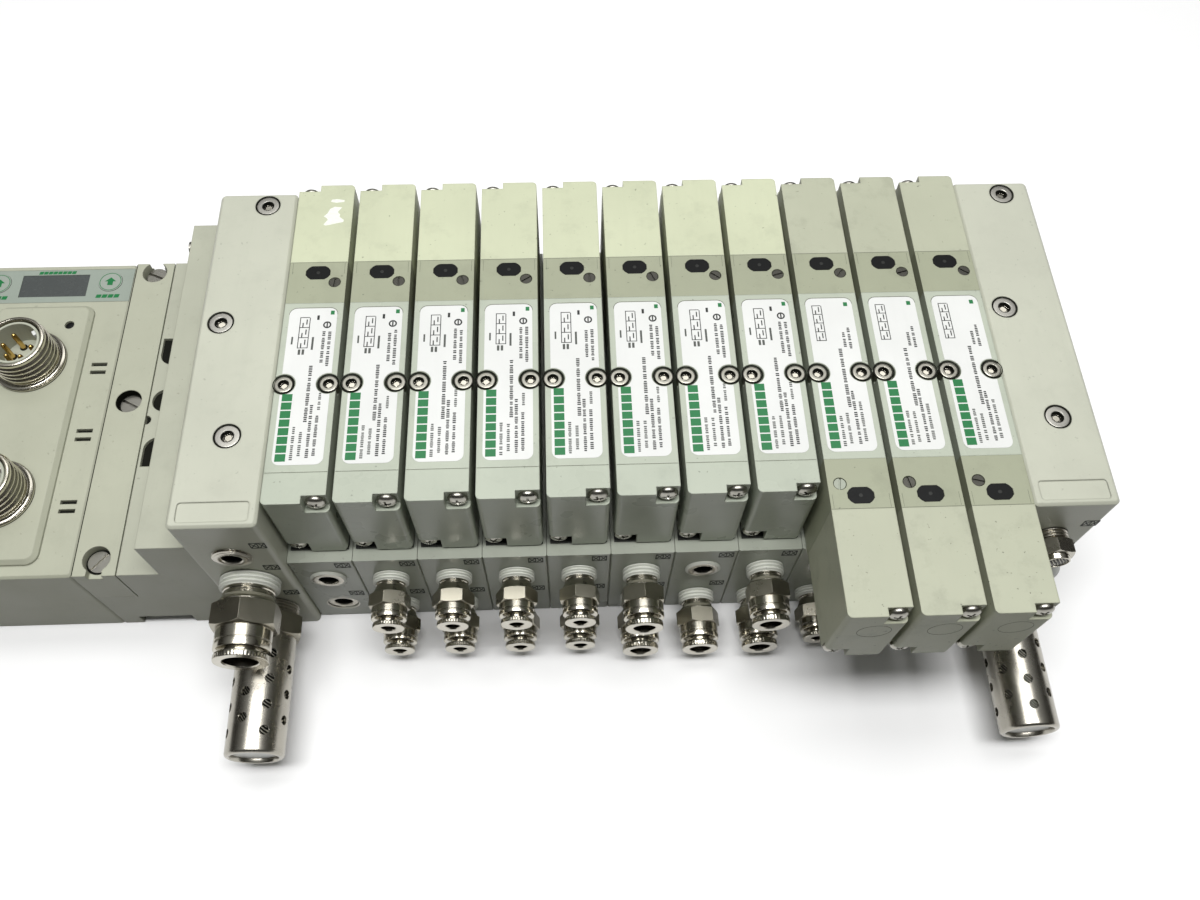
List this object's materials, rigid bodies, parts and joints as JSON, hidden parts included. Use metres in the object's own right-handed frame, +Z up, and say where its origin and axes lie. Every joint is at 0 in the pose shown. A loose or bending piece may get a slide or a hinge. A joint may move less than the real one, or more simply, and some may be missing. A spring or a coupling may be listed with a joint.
{
  "type": "pneumatic valve island",
  "caption": "Valve island: a row of slim solenoid valves on a manifold between two end plates, with push-in fittings, exhaust silencers and an electronics module.",
  "frame": {"origin": "on the underside of the middle manifold block, under the line of the valve screws and halfway along the row of valves", "axes": "+X along the island, away from the electronics module; +Y to the rear, away from the tube ports; +Z up, away from the base"},
  "size_m": [0.3498, 0.1632, 0.0798],
  "materials": {
    "cast_paint": "semi-gloss light grey paint",
    "block_paint": "satin light grey paint",
    "valve_paint": "satin light grey paint",
    "pilot_plastic": "moulded, matte",
    "cream_plastic": "moulded, matte cream",
    "grey_plastic": "moulded, matte grey",
    "gasket": "matte black",
    "screw_steel": "plated socket screws",
    "nickel": "nickel-plated",
    "collar_metal": "nickel-plated collar",
    "window_black": "dark window",
    "override_steel": "turned, dull",
    "white_plug": "moulded, light grey",
    "sinter": "wound mesh",
    "module_plastic": "moulded, light grey",
    "overlay_film": "printed film",
    "display": "dark window",
    "key_film": "domed key",
    "insert_plastic": "moulded, light grey",
    "pin_gold": "plated contact"
  },
  "bodies": {
    "island": {"left_end_plate": "cast_paint", "right_end_plate": "cast_paint", "end_plate_screws": "screw_steel", "manifold_blocks": "block_paint", "valve_gaskets": "gasket", "valve_bodies": "valve_paint", "pilot_bodies": "pilot_plastic", "indicator_windows": "window_black", "cream_coil_covers": "cream_plastic", "grey_coil_covers": "grey_plastic", "front_end_covers": "valve_paint", "valve_screws": "screw_steel", "station_fitting_bodies": "nickel", "port_plugs": "nickel", "supply_fitting_body": "nickel", "silencer_bodies": "nickel", "silencer_sleeves": "nickel", "silencer_elements": "sinter", "breather": "nickel", "supply_blank": "white_plug", "valve_side_adapter": "module_plastic", "clamp_strip": "module_plastic", "clamp_screws": "screw_steel", "comm_module_housing": "module_plastic", "comm_overlay": "overlay_film", "display_window": "display", "connector_shells": "nickel", "connector_inserts": "insert_plastic", "connector_pins": "pin_gold"},
    "rear_override_01": {"rear_override_01": "override_steel"},
    "rear_override_02": {"rear_override_02": "override_steel"},
    "rear_override_03": {"rear_override_03": "override_steel"},
    "rear_override_04": {"rear_override_04": "override_steel"},
    "rear_override_05": {"rear_override_05": "override_steel"},
    "rear_override_06": {"rear_override_06": "override_steel"},
    "rear_override_07": {"rear_override_07": "override_steel"},
    "rear_override_08": {"rear_override_08": "override_steel"},
    "rear_override_09": {"rear_override_09": "override_steel"},
    "rear_override_10": {"rear_override_10": "override_steel"},
    "rear_override_11": {"rear_override_11": "override_steel"},
    "front_override_09": {"front_override_09": "override_steel"},
    "front_override_10": {"front_override_10": "override_steel"},
    "front_override_11": {"front_override_11": "override_steel"},
    "collar_02_upper": {"collar_02_upper": "collar_metal"},
    "collar_02_lower": {"collar_02_lower": "collar_metal"},
    "collar_03_upper": {"collar_03_upper": "collar_metal"},
    "collar_03_lower": {"collar_03_lower": "collar_metal"},
    "collar_04_upper": {"collar_04_upper": "collar_metal"},
    "collar_04_lower": {"collar_04_lower": "collar_metal"},
    "collar_05_upper": {"collar_05_upper": "collar_metal"},
    "collar_05_lower": {"collar_05_lower": "collar_metal"},
    "collar_06_upper": {"collar_06_upper": "collar_metal"},
    "collar_06_lower": {"collar_06_lower": "collar_metal"},
    "collar_07_lower": {"collar_07_lower": "collar_metal"},
    "collar_08_upper": {"collar_08_upper": "collar_metal"},
    "collar_08_lower": {"collar_08_lower": "collar_metal"},
    "collar_09_lower": {"collar_09_lower": "collar_metal"},
    "supply_collar": {"supply_collar": "collar_metal"},
    "set_key": {"set_key": "key_film"},
    "next_key": {"next_key": "key_film"}
  },
  "joints": [
    {"name": "rear_override_01_push", "type": "slide", "parent": "island", "child": "rear_override_01", "axis": [0, 0, -1], "range_m": [0, 0.0008], "stiffness_N_per_m": 3000, "springref_m": -0.0005},
    {"name": "rear_override_02_push", "type": "slide", "parent": "island", "child": "rear_override_02", "axis": [0, 0, -1], "range_m": [0, 0.0008], "stiffness_N_per_m": 3000, "springref_m": -0.0005},
    {"name": "rear_override_03_push", "type": "slide", "parent": "island", "child": "rear_override_03", "axis": [0, 0, -1], "range_m": [0, 0.0008], "stiffness_N_per_m": 3000, "springref_m": -0.0005},
    {"name": "rear_override_04_push", "type": "slide", "parent": "island", "child": "rear_override_04", "axis": [0, 0, -1], "range_m": [0, 0.0008], "stiffness_N_per_m": 3000, "springref_m": -0.0005},
    {"name": "rear_override_05_push", "type": "slide", "parent": "island", "child": "rear_override_05", "axis": [0, 0, -1], "range_m": [0, 0.0008], "stiffness_N_per_m": 3000, "springref_m": -0.0005},
    {"name": "rear_override_06_push", "type": "slide", "parent": "island", "child": "rear_override_06", "axis": [0, 0, -1], "range_m": [0, 0.0008], "stiffness_N_per_m": 3000, "springref_m": -0.0005},
    {"name": "rear_override_07_push", "type": "slide", "parent": "island", "child": "rear_override_07", "axis": [0, 0, -1], "range_m": [0, 0.0008], "stiffness_N_per_m": 3000, "springref_m": -0.0005},
    {"name": "rear_override_08_push", "type": "slide", "parent": "island", "child": "rear_override_08", "axis": [0, 0, -1], "range_m": [0, 0.0008], "stiffness_N_per_m": 3000, "springref_m": -0.0005},
    {"name": "rear_override_09_push", "type": "slide", "parent": "island", "child": "rear_override_09", "axis": [0, 0, -1], "range_m": [0, 0.0008], "stiffness_N_per_m": 3000, "springref_m": -0.0005},
    {"name": "rear_override_10_push", "type": "slide", "parent": "island", "child": "rear_override_10", "axis": [0, 0, -1], "range_m": [0, 0.0008], "stiffness_N_per_m": 3000, "springref_m": -0.0005},
    {"name": "rear_override_11_push", "type": "slide", "parent": "island", "child": "rear_override_11", "axis": [0, 0, -1], "range_m": [0, 0.0008], "stiffness_N_per_m": 3000, "springref_m": -0.0005},
    {"name": "front_override_09_push", "type": "slide", "parent": "island", "child": "front_override_09", "axis": [0, 0, -1], "range_m": [0, 0.0008], "stiffness_N_per_m": 3000, "springref_m": -0.0005},
    {"name": "front_override_10_push", "type": "slide", "parent": "island", "child": "front_override_10", "axis": [0, 0, -1], "range_m": [0, 0.0008], "stiffness_N_per_m": 3000, "springref_m": -0.0005},
    {"name": "front_override_11_push", "type": "slide", "parent": "island", "child": "front_override_11", "axis": [0, 0, -1], "range_m": [0, 0.0008], "stiffness_N_per_m": 3000, "springref_m": -0.0005},
    {"name": "collar_02_upper_push", "type": "slide", "parent": "island", "child": "collar_02_upper", "axis": [0, 1, 0], "range_m": [0, 0.0007], "stiffness_N_per_m": 3000, "springref_m": -0.0005},
    {"name": "collar_02_lower_push", "type": "slide", "parent": "island", "child": "collar_02_lower", "axis": [0, 1, 0], "range_m": [0, 0.0007], "stiffness_N_per_m": 3000, "springref_m": -0.0005},
    {"name": "collar_03_upper_push", "type": "slide", "parent": "island", "child": "collar_03_upper", "axis": [0, 1, 0], "range_m": [0, 0.0007], "stiffness_N_per_m": 3000, "springref_m": -0.0005},
    {"name": "collar_03_lower_push", "type": "slide", "parent": "island", "child": "collar_03_lower", "axis": [0, 1, 0], "range_m": [0, 0.0007], "stiffness_N_per_m": 3000, "springref_m": -0.0005},
    {"name": "collar_04_upper_push", "type": "slide", "parent": "island", "child": "collar_04_upper", "axis": [0, 1, 0], "range_m": [0, 0.0007], "stiffness_N_per_m": 3000, "springref_m": -0.0005},
    {"name": "collar_04_lower_push", "type": "slide", "parent": "island", "child": "collar_04_lower", "axis": [0, 1, 0], "range_m": [0, 0.0007], "stiffness_N_per_m": 3000, "springref_m": -0.0005},
    {"name": "collar_05_upper_push", "type": "slide", "parent": "island", "child": "collar_05_upper", "axis": [0, 1, 0], "range_m": [0, 0.0007], "stiffness_N_per_m": 3000, "springref_m": -0.0005},
    {"name": "collar_05_lower_push", "type": "slide", "parent": "island", "child": "collar_05_lower", "axis": [0, 1, 0], "range_m": [0, 0.0007], "stiffness_N_per_m": 3000, "springref_m": -0.0005},
    {"name": "collar_06_upper_push", "type": "slide", "parent": "island", "child": "collar_06_upper", "axis": [0, 1, 0], "range_m": [0, 0.0007], "stiffness_N_per_m": 3000, "springref_m": -0.0005},
    {"name": "collar_06_lower_push", "type": "slide", "parent": "island", "child": "collar_06_lower", "axis": [0, 1, 0], "range_m": [0, 0.0007], "stiffness_N_per_m": 3000, "springref_m": -0.0005},
    {"name": "collar_07_lower_push", "type": "slide", "parent": "island", "child": "collar_07_lower", "axis": [0, 1, 0], "range_m": [0, 0.0007], "stiffness_N_per_m": 3000, "springref_m": -0.0005},
    {"name": "collar_08_upper_push", "type": "slide", "parent": "island", "child": "collar_08_upper", "axis": [0, 1, 0], "range_m": [0, 0.0007], "stiffness_N_per_m": 3000, "springref_m": -0.0005},
    {"name": "collar_08_lower_push", "type": "slide", "parent": "island", "child": "collar_08_lower", "axis": [0, 1, 0], "range_m": [0, 0.0007], "stiffness_N_per_m": 3000, "springref_m": -0.0005},
    {"name": "collar_09_lower_push", "type": "slide", "parent": "island", "child": "collar_09_lower", "axis": [0, 1, 0], "range_m": [0, 0.0007], "stiffness_N_per_m": 3000, "springref_m": -0.0005},
    {"name": "supply_collar_push", "type": "slide", "parent": "island", "child": "supply_collar", "axis": [0, 1, 0], "range_m": [0, 0.0007], "stiffness_N_per_m": 4000, "springref_m": -0.0005},
    {"name": "set_key_push", "type": "slide", "parent": "island", "child": "set_key", "axis": [0, 0, -1], "range_m": [0, 0.0004], "stiffness_N_per_m": 4000, "springref_m": -0.0003},
    {"name": "next_key_push", "type": "slide", "parent": "island", "child": "next_key", "axis": [0, 0, -1], "range_m": [0, 0.0004], "stiffness_N_per_m": 4000, "springref_m": -0.0003}
  ]
}
